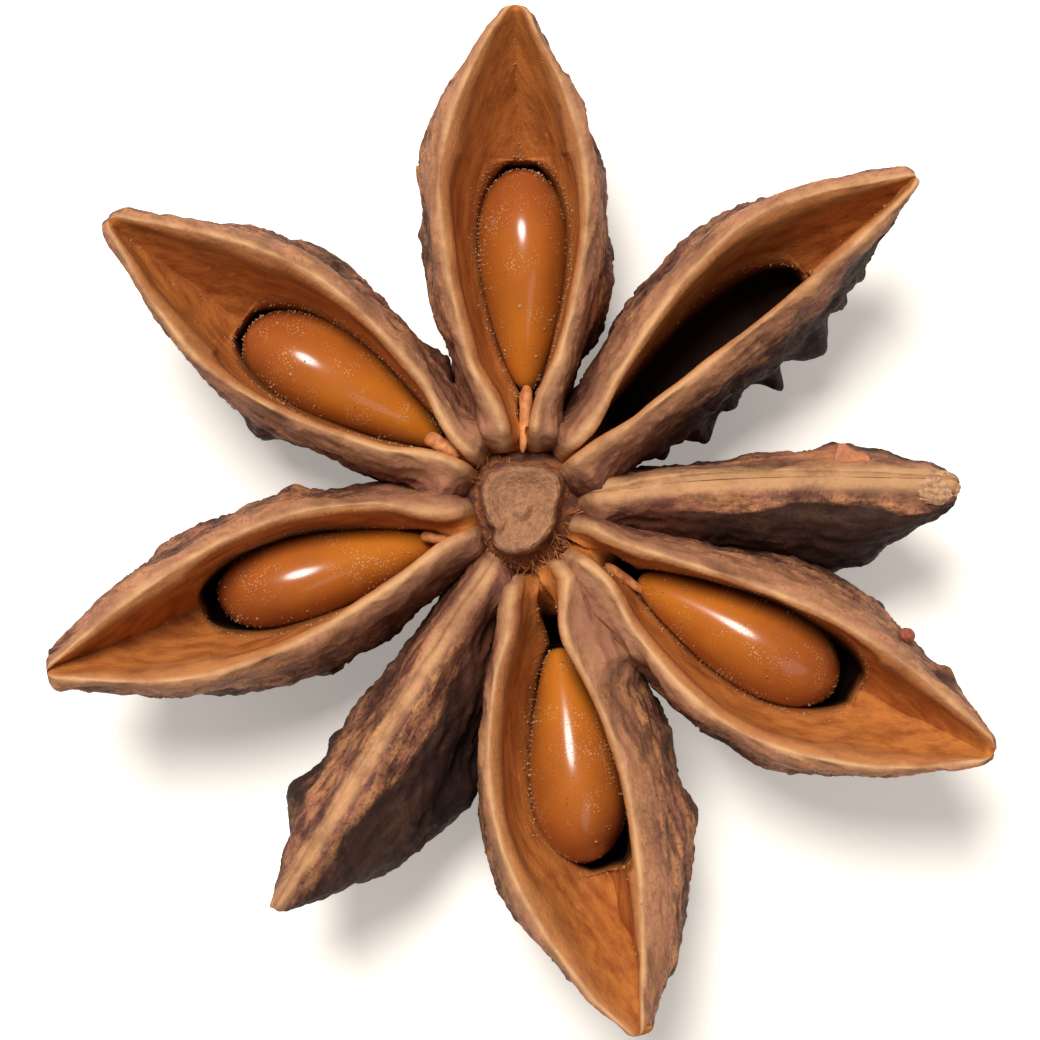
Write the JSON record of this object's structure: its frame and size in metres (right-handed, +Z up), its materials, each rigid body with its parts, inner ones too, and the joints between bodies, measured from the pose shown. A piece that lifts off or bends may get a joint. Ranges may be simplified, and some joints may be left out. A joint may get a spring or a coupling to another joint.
{
  "type": "star anise pod",
  "caption": "Dried star anise fruit lying open side up, boat-shaped woody pods round a central column, some split open over their seeds.",
  "frame": {"origin": "middle of the footprint, on the surface that the pod rests on", "axes": "+Z up, out of the open side; +Y along the pod that points to the back; +X to its right"},
  "size_m": [0.0338, 0.0368, 0.01],
  "materials": {
    "husk_bark": "rough wrinkled bark outside, satin caramel inside the pods, pale split edges",
    "seed_coat": "smooth glossy caramel brown seed coat"
  },
  "bodies": {
    "root": {"husk": "husk_bark", "seed_north": "seed_coat", "seed_northwest": "seed_coat", "seed_west": "seed_coat", "seed_south": "seed_coat", "seed_southeast": "seed_coat"}
  },
  "joints": []
}
